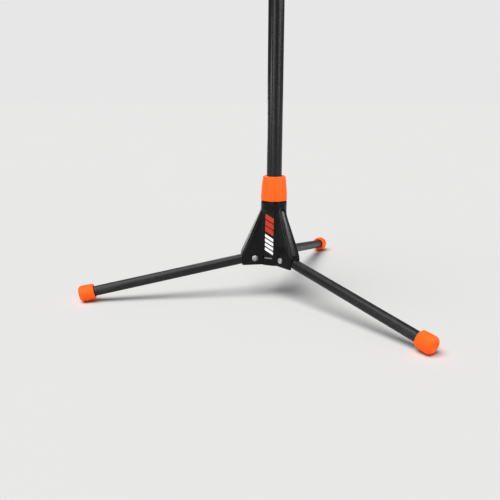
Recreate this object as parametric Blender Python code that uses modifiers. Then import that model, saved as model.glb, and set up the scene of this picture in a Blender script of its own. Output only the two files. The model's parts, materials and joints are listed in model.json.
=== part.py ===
"""Folding tripod batting tee.

A moulded three-armed hub stands on three tubular legs, each hinged on a cross bolt, and holds a
telescoping pole with a rubber ball cup on top. One twist collar clamps the pole in the hub and a
second one locks the height. Lengths are in metres, +Z is up, and the feet stand on Z = 0.

The world origin is the middle of the footprint's bounding box on the ground. The pole stands a
little in front of it, because one of the three legs points straight back.
"""
import math

import bmesh
import bpy
from mathutils import Vector

MM = 0.001
GAP = 0.3 * MM                      # clearance between pieces that touch or run in each other
CUT_MARGIN = 1.0 * MM               # how far a cutter runs past the face it opens
MERGE = 0.00001

# Legs
LEG_AZIMUTHS = (-30.0, -150.0, 90.0)
LEG_SLOPE = math.radians(10.65)     # fall of an open leg towards its foot
LEG_RADIUS = 9.525 * MM             # 3/4 inch tube
LEG_WALL = 1.2 * MM
LEG_STUB = 17.5 * MM                # from the pivot to the end inside the hub
PIVOT_REACH = 39.0 * MM             # pivot bolt from the pole's axis
FOOT_REACH = 358.7 * MM             # middle of a foot cap from the pole's axis

# Foot caps
CAP_LENGTH = 29.0 * MM
CAP_RADIUS = 15.7 * MM
CAP_MOUTH_RADIUS = 15.0 * MM
CAP_MOUTH_ROUND = 3.2 * MM          # rounding of the mouth's outer edge
CAP_SHOULDER = 7.0 * MM             # rounding of the closed end's edge
CAP_LEAD_IN = 1.3 * MM              # funnel round the tube at the mouth
CAP_END_WALL = 8.0 * MM

# Hub
HUB_BELOW_PIVOT = 14.2 * MM
HUB_ARM_REACH = 64.0 * MM
HUB_ARM_HALF_WIDTH = 13.4 * MM
HUB_ARM_TOP_HALF_WIDTH = 8.5 * MM
HUB_TAPER_ABOVE_PIVOT = 28.0 * MM   # from here up the arms get thinner
HUB_CREST_ABOVE_PIVOT = 7.8 * MM    # where the arm's upright end turns into the sloping ridge
HUB_CREST_BEND = 5.0 * MM           # how far the rounding of that turn runs to each side
HUB_RIDGE_TOP_ABOVE_PIVOT = 93.8 * MM
HUB_NECK_TOP_ABOVE_PIVOT = 107.8 * MM
HUB_NECK_RADIUS = 24.7 * MM
HUB_COLUMN_RADIUS = 27.8 * MM       # the column between the arms, at the bottom
HUB_PAD_CUT = 1.6 * MM              # how deep the flat pads cut into the column
HUB_PAD_FADE = 14.0 * MM            # below the neck's top, where the column turns round
HUB_WALL = 4.2 * MM
HUB_FLOOR = 4.0 * MM
HUB_EDGE_FILLET = 4.0 * MM
HUB_VALLEY_FILLET = 4.0 * MM
HUB_SLOT_HALF_WIDTH = 9.85 * MM
HUB_CORE_HALF_WIDTH = 6.0 * MM      # of the narrower hollow above the legs
HUB_BOSS_RADIUS = 7.4 * MM
HUB_BOSS_FACE = 13.9 * MM           # seat of the fasteners, from the arm's middle plane
HUB_SPIGOT_HEIGHT = 22.0 * MM

# Poles
POLE_RADIUS = 14.3 * MM             # 1 1/8 inch tube
UPPER_RADIUS = 12.7 * MM            # 1 inch tube
POLE_WALL = 1.2 * MM
POLE_TOP = 600.0 * MM
UPPER_BOTTOM = 115.0 * MM
UPPER_TOP = 662.0 * MM

# Twist collars
COLLAR_HEIGHT = 45.6 * MM
COLLAR_BOTTOM_RADIUS = 24.75 * MM
COLLAR_TOP_RADIUS = 21.4 * MM
COLLAR_LIP = 4.0 * MM               # top wall of a collar, over its collet
COLLAR_SEAM = 2.4 * MM              # dark gap over the hub's neck
HEIGHT_COLLAR_HEIGHT = 42.0 * MM
HEIGHT_COLLAR_DROP = 18.0 * MM      # how far it reaches down round the lower pole
HEIGHT_COLLAR_BOTTOM_RADIUS = 21.6 * MM
HEIGHT_COLLAR_TOP_RADIUS = 20.0 * MM
FERRULE_WALL = 2.2 * MM             # of the ring at the top of the lower pole, from the tube
COLLET_WALL = 3.6 * MM
COLLET_SLIT = 1.6 * MM

# Ball cup
CUP_BOTTOM = 629.0 * MM
CUP_RIM = 700.0 * MM
CUP_SLEEVE_RADIUS = 15.6 * MM
CUP_RIM_RADIUS = 27.0 * MM
CUP_RIM_WIDTH = 3.2 * MM

# Pivot fasteners, M6 with 10 mm heads and nuts
BOLT_RADIUS = 3.0 * MM
HEX_RADIUS = 5.8 * MM               # across the corners
BOLT_HEAD_HEIGHT = 3.7 * MM
NUT_HEX_HEIGHT = 4.2 * MM
NUT_COLLAR_RADIUS = 4.7 * MM
NUT_HEIGHT = 6.0 * MM
SLEEVE_RADIUS = 4.3 * MM

TUBE_STEPS = 40
CAP_STEPS = 32
SMALL_STEPS = 24


def cap_shape():
    """Outer side of a foot cap, from its mouth to its end disc, as (along, radius) pairs."""
    half = CAP_LENGTH / 2
    points = []
    for step in range(4):
        turn = math.radians(30 * step)
        points.append((-half + CAP_MOUTH_ROUND * (1 - math.cos(turn)),
                       CAP_MOUTH_RADIUS - CAP_MOUTH_ROUND * (1 - math.sin(turn))))
    points.append((-half * 0.2, CAP_RADIUS))
    for step in range(5):
        turn = math.radians(22.5 * step)
        along = half - CAP_SHOULDER + CAP_SHOULDER * math.sin(turn)
        radius = CAP_RADIUS - CAP_SHOULDER + CAP_SHOULDER * math.cos(turn)
        points.append((along, radius))
    return points


def foot_support(direction, azimuth):
    """How far a foot cap reaches along a direction, counted from the cap's middle."""
    turn = math.radians(azimuth)
    fall = math.cos(LEG_SLOPE)
    leg = Vector((fall * math.cos(turn), fall * math.sin(turn), -math.sin(LEG_SLOPE)))
    along = leg.dot(direction)
    across = math.sqrt(1.0 - along * along)
    return max(s * along + r * across for s, r in cap_shape())


FOOT_HEIGHT = foot_support(Vector((0, 0, -1)), 90.0)
PIVOT_HEIGHT = FOOT_HEIGHT + (FOOT_REACH - PIVOT_REACH) * math.tan(LEG_SLOPE)
FOOTPRINT_BACK = FOOT_REACH + foot_support(Vector((0, 1, 0)), 90.0)
FOOTPRINT_FRONT = FOOT_REACH / 2 + foot_support(Vector((0, -1, 0)), -30.0)
POLE_Y = (FOOTPRINT_FRONT - FOOTPRINT_BACK) / 2

HUB_BOTTOM = PIVOT_HEIGHT - HUB_BELOW_PIVOT
HUB_CREST = PIVOT_HEIGHT + HUB_CREST_ABOVE_PIVOT
HUB_TAPER = PIVOT_HEIGHT + HUB_TAPER_ABOVE_PIVOT
HUB_RIDGE_TOP = PIVOT_HEIGHT + HUB_RIDGE_TOP_ABOVE_PIVOT
HUB_NECK_TOP = PIVOT_HEIGHT + HUB_NECK_TOP_ABOVE_PIVOT
SOCKET_RADIUS = POLE_RADIUS + GAP
SPIGOT_RADIUS = SOCKET_RADIUS + COLLET_WALL
SPIGOT_TOP = HUB_NECK_TOP + HUB_SPIGOT_HEIGHT
COLLAR_BOTTOM = HUB_NECK_TOP + COLLAR_SEAM
COLLAR_TOP = COLLAR_BOTTOM + COLLAR_HEIGHT
LEG_CAP_ALONG = (FOOT_REACH - PIVOT_REACH) / math.cos(LEG_SLOPE)


# --- scene, materials and small builders ---------------------------------------------------

def clear_scene():
    for old in list(bpy.data.objects):
        bpy.data.objects.remove(old, do_unlink=True)


def make_collection(name):
    group = bpy.data.collections.new(name)
    bpy.context.scene.collection.children.link(group)
    return group


def make_material(name, colour, roughness, metallic):
    material = bpy.data.materials.new(name)
    material.use_nodes = True
    shader = material.node_tree.nodes["Principled BSDF"]
    shader.inputs["Base Color"].default_value = (*colour, 1.0)
    shader.inputs["Roughness"].default_value = roughness
    shader.inputs["Metallic"].default_value = metallic
    material.diffuse_color = (*colour, 1.0)
    return material


def place(name, mesh, material, parent, collection=None):
    """Put a mesh in the scene as a named piece under its parent empty."""
    piece = bpy.data.objects.new(name, mesh)
    (collection or TEE).objects.link(piece)
    piece.parent = parent
    if material:
        mesh.materials.append(material)
    return piece


def smooth(piece, angle=35.0):
    piece.data.shade_smooth()
    piece.data.set_sharp_from_angle(angle=math.radians(angle))


def hide_cutter(cutter):
    cutter.display_type = "WIRE"
    cutter.hide_render = True


def boolean(piece, cutter, operation="DIFFERENCE"):
    """Cut a piece with a cutter, or join the cutter's shape to it."""
    hide_cutter(cutter)
    modifier = piece.modifiers.new(cutter.name, "BOOLEAN")
    modifier.operation = operation
    modifier.solver = "EXACT"
    modifier.object = cutter


def empty(name, parent, location, rotation=(0.0, 0.0, 0.0)):
    frame = bpy.data.objects.new(name, None)
    TEE.objects.link(frame)
    frame.parent = parent
    frame.location = location
    frame.rotation_euler = rotation
    frame.empty_display_size = 0.02
    return frame


def turned(name, profile, material, parent, steps=TUBE_STEPS, closed=True):
    """Turn a profile of (radius, height) points, listed down the outer side, about local Z.

    A closed profile is a ring section that stays off the axis. An open one starts and ends on
    the axis.
    """
    mesh = bpy.data.meshes.new(name)
    points = [(radius, 0.0, height) for radius, height in profile]
    edges = [(i, i + 1) for i in range(len(points) - 1)]
    if closed:
        edges.append((len(points) - 1, 0))
    mesh.from_pydata(points, edges, [])
    piece = place(name, mesh, material, parent)
    screw = piece.modifiers.new("turn", "SCREW")
    screw.axis = "Z"
    screw.angle = math.tau
    screw.steps = steps
    screw.render_steps = steps
    screw.use_merge_vertices = True
    screw.merge_threshold = MERGE
    screw.use_smooth_shade = True
    return piece


def rod_cutter(name, radius, depth, parent, location, rotation=(0.0, 0.0, 0.0), steps=SMALL_STEPS):
    """A cylinder along local Z, centred on its location, to cut with."""
    mesh = bpy.data.meshes.new(name)
    shape = bmesh.new()
    bmesh.ops.create_cone(shape, cap_ends=True, segments=steps, radius1=radius, radius2=radius,
                          depth=depth)
    shape.to_mesh(mesh)
    shape.free()
    cutter = place(name, mesh, None, parent, CUTTERS)
    cutter.location = location
    cutter.rotation_euler = rotation
    hide_cutter(cutter)
    return cutter


def box_cutter(name, size, parent, location, rotation=(0.0, 0.0, 0.0)):
    mesh = bpy.data.meshes.new(name)
    shape = bmesh.new()
    bmesh.ops.create_cube(shape, size=1.0)
    bmesh.ops.scale(shape, vec=Vector(size), verts=shape.verts)
    shape.to_mesh(mesh)
    shape.free()
    cutter = place(name, mesh, None, parent, CUTTERS)
    cutter.location = location
    cutter.rotation_euler = rotation
    hide_cutter(cutter)
    return cutter


def outline_cutter(name, outline, half_thickness, parent, rotation):
    """An upright outline of (reach, height) points, made thick to both sides, to cut with."""
    curve = bpy.data.curves.new(name, "CURVE")
    curve.dimensions = "2D"
    curve.fill_mode = "BOTH"
    curve.extrude = half_thickness
    spline = curve.splines.new("POLY")
    spline.points.add(len(outline) - 1)
    for point, (reach, height) in zip(spline.points, outline):
        point.co = (reach, height, 0.0, 1.0)
    spline.use_cyclic_u = True
    guide = bpy.data.objects.new(name + "_curve", curve)
    CUTTERS.objects.link(guide)
    depsgraph = bpy.context.evaluated_depsgraph_get()
    mesh = bpy.data.meshes.new_from_object(guide.evaluated_get(depsgraph))
    bpy.data.objects.remove(guide, do_unlink=True)
    shape = bmesh.new()
    shape.from_mesh(mesh)
    bmesh.ops.remove_doubles(shape, verts=shape.verts, dist=MERGE)
    bmesh.ops.recalc_face_normals(shape, faces=shape.faces)
    shape.to_mesh(mesh)
    shape.free()
    cutter = place(name, mesh, None, parent, CUTTERS)
    cutter.rotation_euler = rotation
    hide_cutter(cutter)
    return cutter


def arc(centre, radius, start, end, count):
    """Points on an arc in plan, between two angles in radians, ends included."""
    angles = [start + (end - start) * i / count for i in range(count + 1)]
    return [(centre[0] + radius * math.cos(a), centre[1] + radius * math.sin(a)) for a in angles]


# --- hub -----------------------------------------------------------------------------------

def blend(low, high, height, start):
    """Value at a height, going evenly from one height to the top of the hub's ridges."""
    share = (height - start) / (HUB_RIDGE_TOP - start)
    return low + (high - low) * min(1.0, max(0.0, share))


def hub_outline(height, reach, inset):
    """Plan of the hub at a height where its arms reach out to a radius.

    Each arm has an end on a circle about the pole, parallel sides, rounded edges, and a hollow
    fillet where it leaves the round column. A flat pad is cut into the column between two arms.
    Towards the neck the arms sink into the column.
    """
    reach = reach - inset
    half_width = blend(HUB_ARM_HALF_WIDTH, HUB_ARM_TOP_HALF_WIDTH, height, HUB_TAPER) - inset
    column = blend(HUB_COLUMN_RADIUS, HUB_NECK_RADIUS, height, HUB_BOTTOM) - inset
    edge = min(HUB_EDGE_FILLET, (reach - column) / 2)
    edge_x = math.sqrt((reach - edge) ** 2 - (half_width - edge) ** 2)
    widest = (edge_x ** 2 - column ** 2 + half_width ** 2) / (2 * (column - half_width))
    valley = min(HUB_VALLEY_FILLET, widest)
    valley_x = math.sqrt((column + valley) ** 2 - (half_width + valley) ** 2)
    edge_turn = math.atan2(half_width - edge, edge_x)
    valley_turn = math.atan2(half_width + valley, valley_x)
    pad_cut = HUB_PAD_CUT * min(1.0, (HUB_NECK_TOP + MM - height) / HUB_PAD_FADE)
    pad_turn = math.pi / 3 - math.acos(1 - pad_cut / column)
    half = arc((0.0, 0.0), reach, 0.0, edge_turn, 2)[:-1]
    half += arc((edge_x, half_width - edge), edge, edge_turn, math.pi / 2, 3)
    half += arc((valley_x, half_width + valley), valley, -math.pi / 2, valley_turn - math.pi, 2)
    half += arc((0.0, 0.0), column, valley_turn, pad_turn, 2)[1:]
    arm = [(x, -y) for x, y in reversed(half[1:])] + half
    points = []
    for azimuth in sorted(LEG_AZIMUTHS):
        turn = math.radians(azimuth)
        for x, y in arm:
            points.append((x * math.cos(turn) - y * math.sin(turn),
                           x * math.sin(turn) + y * math.cos(turn)))
    return points


def hub_levels():
    """Heights of the hub's plans, each with the arms' reach and the inset of a softened edge."""
    faint = 0.05 * MM               # keeps the arms apart from the column at the neck
    run = HUB_ARM_REACH - HUB_NECK_RADIUS - faint
    rise = HUB_RIDGE_TOP - HUB_CREST
    slope = math.atan2(run, rise)
    bend_radius = HUB_CREST_BEND / math.tan(slope / 2)
    edge = 1.2 * MM
    levels = [
        (HUB_BOTTOM, HUB_ARM_REACH, edge),
        (HUB_BOTTOM + edge, HUB_ARM_REACH, 0.0),
    ]
    bend_steps = 3
    for step in range(bend_steps + 1):
        turn = slope * step / bend_steps
        levels.append((HUB_CREST - HUB_CREST_BEND + bend_radius * math.sin(turn),
                       HUB_ARM_REACH - bend_radius * (1 - math.cos(turn)), 0.0))
    first, reach = levels[-1][:2]
    ridge_steps = 5
    for step in range(1, ridge_steps + 1):
        share = step / ridge_steps
        levels.append((first + (HUB_RIDGE_TOP - first) * share,
                       reach + (HUB_NECK_RADIUS + faint - reach) * share, 0.0))
    levels.append((HUB_NECK_TOP - edge, HUB_NECK_RADIUS + faint, 0.0))
    levels.append((HUB_NECK_TOP, HUB_NECK_RADIUS + faint, edge / 2))
    return levels


def hub_body(material, pole):
    """Outside of the hub: its plans at rising heights, joined into one closed skin."""
    mesh = bpy.data.meshes.new("hub_shell")
    shape = bmesh.new()
    rings = []
    for height, reach, inset in hub_levels():
        plan = hub_outline(height, reach, inset)
        rings.append([shape.verts.new((x, y, height)) for x, y in plan])
    for low, high in zip(rings, rings[1:]):
        for i in range(len(low)):
            j = (i + 1) % len(low)
            shape.faces.new((low[i], low[j], high[j], high[i]))
    shape.faces.new(list(reversed(rings[0])))
    shape.faces.new(rings[-1])
    bmesh.ops.remove_doubles(shape, verts=shape.verts, dist=0.1 * MM)
    shape.to_mesh(mesh)
    shape.free()
    return place("hub_shell", mesh, material, pole)


def arm_hollows():
    """Side views of the two hollows in an arm, as (reach, height) points.

    The wide one takes the leg. Its roof lies on the open leg, which is the stop when the tee
    stands, and its inner step stops the stub of a folded leg. The narrow one above it keeps the
    moulding's walls even.
    """
    def roof(reach):
        fall = (reach - PIVOT_REACH) * math.tan(LEG_SLOPE)
        return PIVOT_HEIGHT - fall + (LEG_RADIUS + GAP) / math.cos(LEG_SLOPE)

    ridge_slope = (HUB_ARM_REACH - HUB_NECK_RADIUS) / (HUB_RIDGE_TOP - HUB_CREST)
    wall = HUB_WALL / math.cos(math.atan(ridge_slope))

    def under_ridge(reach):
        return HUB_RIDGE_TOP - (reach + wall - HUB_NECK_RADIUS) / ridge_slope

    inner = SPIGOT_RADIUS
    outer = HUB_ARM_REACH + 2 * CUT_MARGIN
    bottom = HUB_BOTTOM - CUT_MARGIN
    fold_stop = PIVOT_REACH + LEG_RADIUS + GAP
    sweep_top = PIVOT_HEIGHT + math.hypot(LEG_STUB, LEG_RADIUS) + 1.5 * MM
    core_inner = inner + 1.0 * MM
    core_outer = fold_stop - 1.0 * MM
    core_top = core_inner + 4.0 * MM
    wide = [(inner, bottom), (outer, bottom), (outer, roof(outer)),
            (fold_stop, roof(fold_stop)), (fold_stop, sweep_top), (inner, sweep_top)]
    narrow = [(core_inner, sweep_top - CUT_MARGIN), (core_outer, sweep_top - CUT_MARGIN),
              (core_outer, under_ridge(core_outer)), (core_top, under_ridge(core_top)),
              (core_inner, under_ridge(core_top))]
    return (("slot", wide, HUB_SLOT_HALF_WIDTH), ("core", narrow, HUB_CORE_HALF_WIDTH))


def make_hub(material, pole):
    """The moulded hub: socket for the pole, spigot for the collar, and a slot for each leg."""
    hub = hub_body(material, pole)
    pivots = []
    for azimuth in LEG_AZIMUTHS:
        turn = math.radians(azimuth)
        where = (PIVOT_REACH * math.cos(turn), PIVOT_REACH * math.sin(turn), PIVOT_HEIGHT)
        pivots.append((where, (math.pi / 2, 0, turn)))
    for number, (where, across) in enumerate(pivots, 1):
        boss = rod_cutter(f"bolt_boss_{number}", HUB_BOSS_RADIUS, 2 * HUB_BOSS_FACE, pole, where,
                          across)
        boolean(hub, boss, "UNION")
    spigot_root = 10 * MM
    spigot_length = HUB_SPIGOT_HEIGHT + spigot_root
    spigot = rod_cutter("hub_spigot", SPIGOT_RADIUS, spigot_length, pole,
                        (0, 0, SPIGOT_TOP - spigot_length / 2), steps=TUBE_STEPS)
    boolean(hub, spigot, "UNION")
    socket_floor = HUB_BOTTOM + HUB_FLOOR
    socket_depth = SPIGOT_TOP + CUT_MARGIN - socket_floor
    socket = rod_cutter("hub_socket", SOCKET_RADIUS, socket_depth, pole,
                        (0, 0, socket_floor + socket_depth / 2), steps=TUBE_STEPS)
    boolean(hub, socket)
    pocket_reach = 19.6 * MM
    pocket_radius = 2.6 * MM
    pocket_depth = 70 * MM
    for number, (where, across) in enumerate(pivots, 1):
        turn = across[2]
        for kind, outline, half_width in arm_hollows():
            hollow = outline_cutter(f"arm_{kind}_{number}", outline, half_width, pole, across)
            boolean(hub, hollow)
        bolt_hole = rod_cutter(f"bolt_hole_{number}", BOLT_RADIUS + GAP, 4 * HUB_BOSS_FACE, pole,
                               where, across)
        boolean(hub, bolt_hole)
        between = turn + math.pi / 3
        pocket = rod_cutter(
            f"core_pocket_{number}", pocket_radius, pocket_depth, pole,
            (pocket_reach * math.cos(between), pocket_reach * math.sin(between),
             HUB_BOTTOM - CUT_MARGIN + pocket_depth / 2), steps=16)
        boolean(hub, pocket)
    smooth(hub)
    return hub


# --- poles, collars and ball cup -------------------------------------------------------------

def tube_profile(outer, inner, bottom, top):
    return [(outer, top), (outer, bottom), (inner, bottom), (inner, top)]


def plug_profile(body, flange, bottom, shoulder, top):
    """A plug that starts with a flange and goes up into a tube."""
    chamfer = 0.8 * MM
    return [
        (0.0, top),
        (body - chamfer, top),
        (body, top - chamfer),
        (body, shoulder),
        (flange, shoulder),
        (flange, bottom + chamfer / 2),
        (flange - chamfer / 2, bottom),
        (0.0, bottom),
    ]


def barrel_side(bottom, top, bottom_radius, top_radius):
    """Outer side of a collar from its top edge down: rounded edges and a bowed taper."""
    top_round = 1.8 * MM
    bottom_round = 0.9 * MM
    bow = 1.9
    points = []
    for step in range(4):
        turn = math.radians(30 * step)
        points.append((top_radius - top_round * (1 - math.sin(turn)),
                       top - top_round * (1 - math.cos(turn))))
    side_steps = 5
    for step in range(1, side_steps + 1):
        share = step / side_steps
        points.append((top_radius + (bottom_radius - top_radius) * (1 - (1 - share) ** bow),
                       top - top_round - share * (top - bottom - top_round - bottom_round)))
    points.append((bottom_radius - bottom_round, bottom))
    return points


def make_collar(name, material, parent, bottom, height, radii, bores, lip):
    """A twist collar: wide bore over what it clamps, and a narrower lip at its top."""
    top = bottom + height
    low_radius, top_radius = radii
    low_bore, top_bore = bores
    profile = barrel_side(bottom, top, low_radius, top_radius)
    profile += [(low_bore, bottom), (low_bore, top - lip), (top_bore, top - lip), (top_bore, top)]
    return turned(name, profile, material, parent)


def make_collet(name, material, parent, inner, outer, bottom, top):
    """A split ring that closes on the tube inside it when its collar is turned."""
    chamfer = 1.5 * MM
    profile = [(outer - chamfer, top), (outer, top - 2 * chamfer), (outer, bottom),
               (inner, bottom), (inner, top)]
    ring = turned(name, profile, material, parent, steps=32)
    slit = box_cutter(name + "_slit", (2 * outer, COLLET_SLIT, 2 * (top - bottom)), parent,
                      (outer, 0, (top + bottom) / 2))
    boolean(ring, slit)
    return ring


def make_lower_pole(materials, pole):
    floor = HUB_BOTTOM + HUB_FLOOR + GAP
    flange = 2.0 * MM
    inner = POLE_RADIUS - POLE_WALL
    turned("lower_pole", tube_profile(POLE_RADIUS, inner, floor + flange + GAP, POLE_TOP),
           materials["paint"], pole)
    turned("pole_end_plug",
           plug_profile(inner - GAP, POLE_RADIUS - GAP, floor, floor + flange, floor + 14 * MM),
           materials["plastic"], pole, steps=32, closed=False)


def make_upper_pole(materials, upper):
    inner = UPPER_RADIUS - POLE_WALL
    flange = 8.0 * MM
    turned("upper_pole",
           tube_profile(UPPER_RADIUS, inner, UPPER_BOTTOM + flange + GAP, UPPER_TOP),
           materials["paint"], upper)
    turned("guide_bush",
           plug_profile(inner - GAP, UPPER_RADIUS + 0.08 * MM, UPPER_BOTTOM,
                        UPPER_BOTTOM + flange, UPPER_BOTTOM + 30 * MM),
           materials["plastic"], upper, steps=32, closed=False)


def make_ball_cup(materials, upper):
    """Rubber cup on the upper pole: a sleeve, a ribbed waist and a flared rim for the ball."""
    bore = UPPER_RADIUS + GAP
    web_low = UPPER_TOP + GAP
    web_high = UPPER_TOP + 5.0 * MM
    waist = CUP_SLEEVE_RADIUS + 1.0 * MM
    outer = [
        (CUP_RIM_RADIUS, CUP_RIM),
        (CUP_RIM_RADIUS + 0.9 * MM, CUP_RIM - 1.2 * MM),
        (CUP_RIM_RADIUS + 0.9 * MM, CUP_RIM - 4.5 * MM),
        (CUP_RIM_RADIUS - 0.6 * MM, CUP_RIM - 6.0 * MM),
    ]
    flare = 5
    for step in range(1, flare + 1):
        share = step / flare
        radius = waist + (CUP_RIM_RADIUS - 0.6 * MM - waist) * (1 - share) ** 1.4
        outer.append((radius, CUP_RIM - 6.0 * MM - share * 26 * MM))
    outer += [
        (CUP_SLEEVE_RADIUS, CUP_RIM - 35 * MM),
        (CUP_SLEEVE_RADIUS, CUP_BOTTOM + 1.0 * MM),
        (CUP_SLEEVE_RADIUS - 1.0 * MM, CUP_BOTTOM),
    ]
    inside = [
        (bore, CUP_BOTTOM),
        (bore, web_low),
        (5.0 * MM, web_low),
        (5.0 * MM, web_high),
        (9.0 * MM, web_high),
        (CUP_RIM_RADIUS - CUP_RIM_WIDTH - 3.0 * MM, CUP_RIM - 9.0 * MM),
        (CUP_RIM_RADIUS - CUP_RIM_WIDTH, CUP_RIM),
    ]
    turned("ball_cup", outer + inside, materials["rubber"], upper)
    adapter_top = web_low - GAP
    turned("cup_plug",
           plug_profile(UPPER_RADIUS - POLE_WALL - GAP, UPPER_RADIUS - POLE_WALL - GAP,
                        adapter_top - 24 * MM, adapter_top - 20 * MM, adapter_top),
           materials["plastic"], upper, steps=32, closed=False)


# --- legs --------------------------------------------------------------------------------------

def along_leg(piece):
    """Lay a piece that was turned about Z along the leg, its top towards the foot."""
    piece.rotation_euler = (0.0, math.pi / 2, 0.0)
    return piece


def across_leg(piece):
    """Lay a piece that was turned about Z along the pivot's axis, its top on the +Y side."""
    piece.rotation_euler = (-math.pi / 2, 0.0, 0.0)
    return piece


def make_leg_tube(number, materials, leg):
    end_flange = 2.0 * MM
    inside_cap = LEG_CAP_ALONG + CAP_LENGTH / 2 - CAP_END_WALL - GAP
    start = -LEG_STUB + end_flange + GAP
    inner = LEG_RADIUS - LEG_WALL
    tube = along_leg(turned(f"leg_tube_{number}",
                            tube_profile(LEG_RADIUS, inner, start, inside_cap),
                            materials["paint"], leg, steps=CAP_STEPS))
    plug = along_leg(turned(f"leg_pivot_plug_{number}",
                            plug_profile(inner - GAP, LEG_RADIUS - GAP, -LEG_STUB,
                                         -LEG_STUB + end_flange, 15 * MM),
                            materials["plastic"], leg, steps=SMALL_STEPS, closed=False))
    for piece in (tube, plug):
        bore = rod_cutter(f"{piece.name}_cross_bore", SLEEVE_RADIUS + GAP, 4 * LEG_RADIUS, leg,
                          (0, 0, 0), (math.pi / 2, 0, 0))
        boolean(piece, bore)


def make_foot_cap(number, materials, leg):
    """Foot cap: a closed barrel with rounded ends and a short funnel round the tube."""
    half = CAP_LENGTH / 2
    bore = LEG_RADIUS + GAP
    disc = CAP_RADIUS - CAP_SHOULDER - 1.2 * MM
    dish = 0.5 * MM
    end = LEG_CAP_ALONG + half
    start = LEG_CAP_ALONG - half
    profile = [(0.0, end - dish), (disc - dish, end - dish), (disc, end)]
    profile += [(radius, LEG_CAP_ALONG + along) for along, radius in reversed(cap_shape())]
    profile += [
        (bore + CAP_LEAD_IN, start),
        (bore, start + CAP_LEAD_IN),
        (bore, end - CAP_END_WALL),
        (0.0, end - CAP_END_WALL),
    ]
    along_leg(turned(f"foot_cap_{number}", profile, materials["orange"], leg, steps=CAP_STEPS,
                     closed=False))


def hexagon(name, height, middle, material, pivot):
    """A hexagonal head or nut on the pivot's axis, its middle at a distance from the arm's."""
    mesh = bpy.data.meshes.new(name)
    shape = bmesh.new()
    bmesh.ops.create_cone(shape, cap_ends=True, segments=6, radius1=HEX_RADIUS,
                          radius2=HEX_RADIUS, depth=height)
    shape.to_mesh(mesh)
    shape.free()
    piece = place(name, mesh, material, pivot)
    piece.location = (0, middle, 0)
    piece.rotation_euler = (math.pi / 2, 0, 0)
    return piece


def make_pivot(number, materials, pivot):
    """Hexagon bolt across the arm, its lock nut on the +Y side, and its spacer sleeve."""
    across = (math.pi / 2, 0, 0)
    face = HUB_BOSS_FACE + GAP
    bolt_end = face + NUT_HEIGHT - 0.5 * MM
    bolt = hexagon(f"pivot_bolt_{number}", BOLT_HEAD_HEIGHT, -face - BOLT_HEAD_HEIGHT / 2,
                   materials["zinc"], pivot)
    shank_length = bolt_end + face + BOLT_HEAD_HEIGHT / 2
    shank = rod_cutter(f"bolt_shank_{number}", BOLT_RADIUS, shank_length, pivot,
                       (0, bolt_end - shank_length / 2, 0), across)
    boolean(bolt, shank, "UNION")

    half_slot = HUB_SLOT_HALF_WIDTH - GAP
    across_leg(turned(f"pivot_sleeve_{number}",
                      tube_profile(SLEEVE_RADIUS, BOLT_RADIUS + GAP, -half_slot, half_slot),
                      materials["zinc"], pivot, steps=SMALL_STEPS))

    nut = hexagon(f"lock_nut_{number}", NUT_HEX_HEIGHT, face + NUT_HEX_HEIGHT / 2,
                  materials["zinc"], pivot)
    collar_depth = NUT_HEIGHT / 2
    nut_collar = rod_cutter(f"nut_collar_{number}", NUT_COLLAR_RADIUS, collar_depth, pivot,
                            (0, face + NUT_HEIGHT - collar_depth / 2, 0), across)
    boolean(nut, nut_collar, "UNION")
    thread = rod_cutter(f"nut_thread_{number}", BOLT_RADIUS + GAP, 4 * NUT_HEIGHT, pivot,
                        (0, face, 0), across)
    boolean(nut, thread)


def make_leg(number, azimuth, materials, pole):
    """One leg on its pivot. Local X runs down the leg, and local Y is the bolt's axis."""
    turn = math.radians(azimuth)
    where = (PIVOT_REACH * math.cos(turn), PIVOT_REACH * math.sin(turn), PIVOT_HEIGHT)
    pivot = empty(f"pivot_{number}", pole, where, (0.0, 0.0, turn))
    leg = empty(f"leg_fold_{number}", pole, where, (0.0, LEG_SLOPE, turn))
    make_leg_tube(number, materials, leg)
    make_foot_cap(number, materials, leg)
    make_pivot(number, materials, pivot)


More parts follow.
